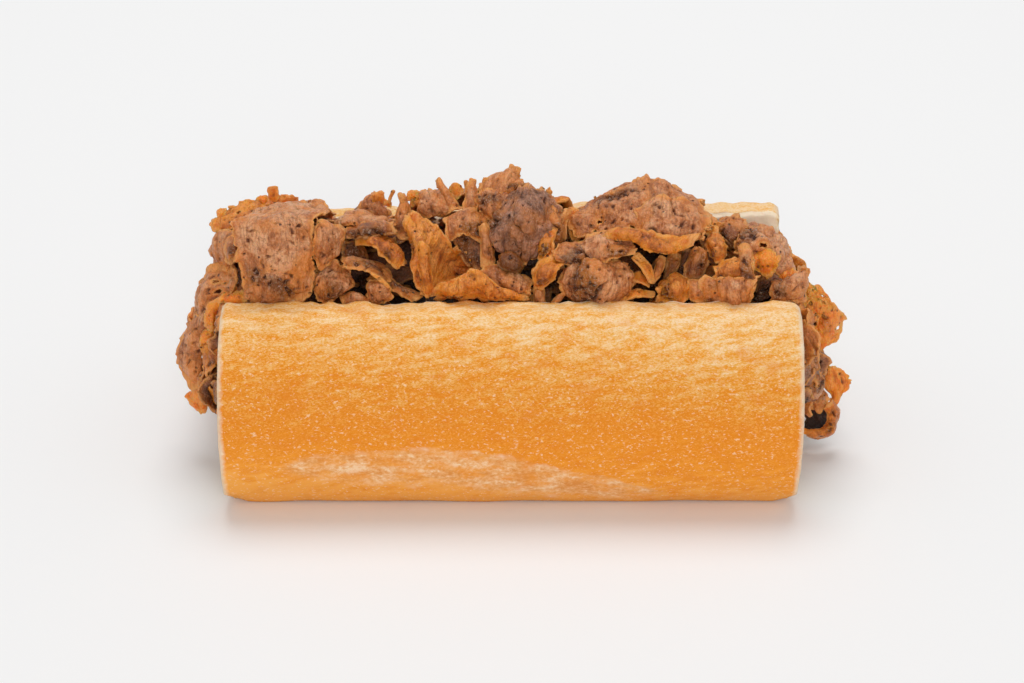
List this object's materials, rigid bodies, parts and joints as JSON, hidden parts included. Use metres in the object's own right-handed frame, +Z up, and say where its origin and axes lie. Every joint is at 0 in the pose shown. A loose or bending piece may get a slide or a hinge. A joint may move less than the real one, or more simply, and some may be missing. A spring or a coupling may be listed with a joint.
{
  "type": "submarine sandwich",
  "caption": "Short cut length of crusty white roll, opened along its top and heaped with thin shaved, folded slices of cooked meat.",
  "frame": {"origin": "centre of the underside, on the surface the roll stands on, midway along its length and width", "axes": "+X along the roll, +Y away from the front wall, +Z up through the open top"},
  "size_m": [0.1881, 0.0994, 0.0788],
  "materials": {
    "bread_crust": "baked golden crust, paler at the lip, with fine pale flecks and white crumb at the cuts",
    "brown_meat": "moist cooked shaved meat, pinkish brown with dark specks",
    "dark_meat": "moist darker cooked meat, grey brown with pits",
    "crisp_meat": "thin crisp orange-brown edges, slightly glossy and translucent"
  },
  "bodies": {
    "root": {"roll": "bread_crust", "meat_heap": "brown_meat", "slice_left_block": "brown_meat", "slice_left_back": "crisp_meat", "slice_left_curl": "brown_meat", "slice_left_lump": "dark_meat", "slice_left_hanging": "brown_meat", "slice_left_ribbon": "crisp_meat", "slice_left_crumb": "crisp_meat", "slice_ridge": "brown_meat", "slice_triangle": "brown_meat", "slice_blade": "brown_meat", "slice_cup": "crisp_meat", "slice_low_lump": "brown_meat", "slice_fibrous": "brown_meat", "slice_fold": "crisp_meat", "slice_round_brown": "brown_meat", "slice_forked": "brown_meat", "slice_pitted": "dark_meat", "slice_pale": "brown_meat", "slice_peak": "brown_meat", "slice_dark_disc": "dark_meat", "slice_tube": "brown_meat", "slice_hood": "crisp_meat", "slice_big_disc": "brown_meat", "slice_rim_band": "crisp_meat", "slice_shelf": "brown_meat", "slice_middle_disc": "brown_meat", "slice_lobe": "brown_meat", "slice_knob": "brown_meat", "slice_right_upper": "brown_meat", "slice_right_pink": "brown_meat", "slice_right_lip": "brown_meat", "slice_frilly": "brown_meat", "slice_right_orange": "crisp_meat", "slice_right_folds": "brown_meat", "slice_lacy": "crisp_meat", "slice_right_hanging": "brown_meat", "slice_right_crisp": "crisp_meat", "slice_hook": "dark_meat", "slice_rear_left": "brown_meat", "slice_rear_middle": "brown_meat", "slice_rear_right": "dark_meat", "slice_rear_low": "brown_meat", "slice_end_left": "brown_meat", "slice_end_right": "brown_meat"}
  },
  "joints": []
}
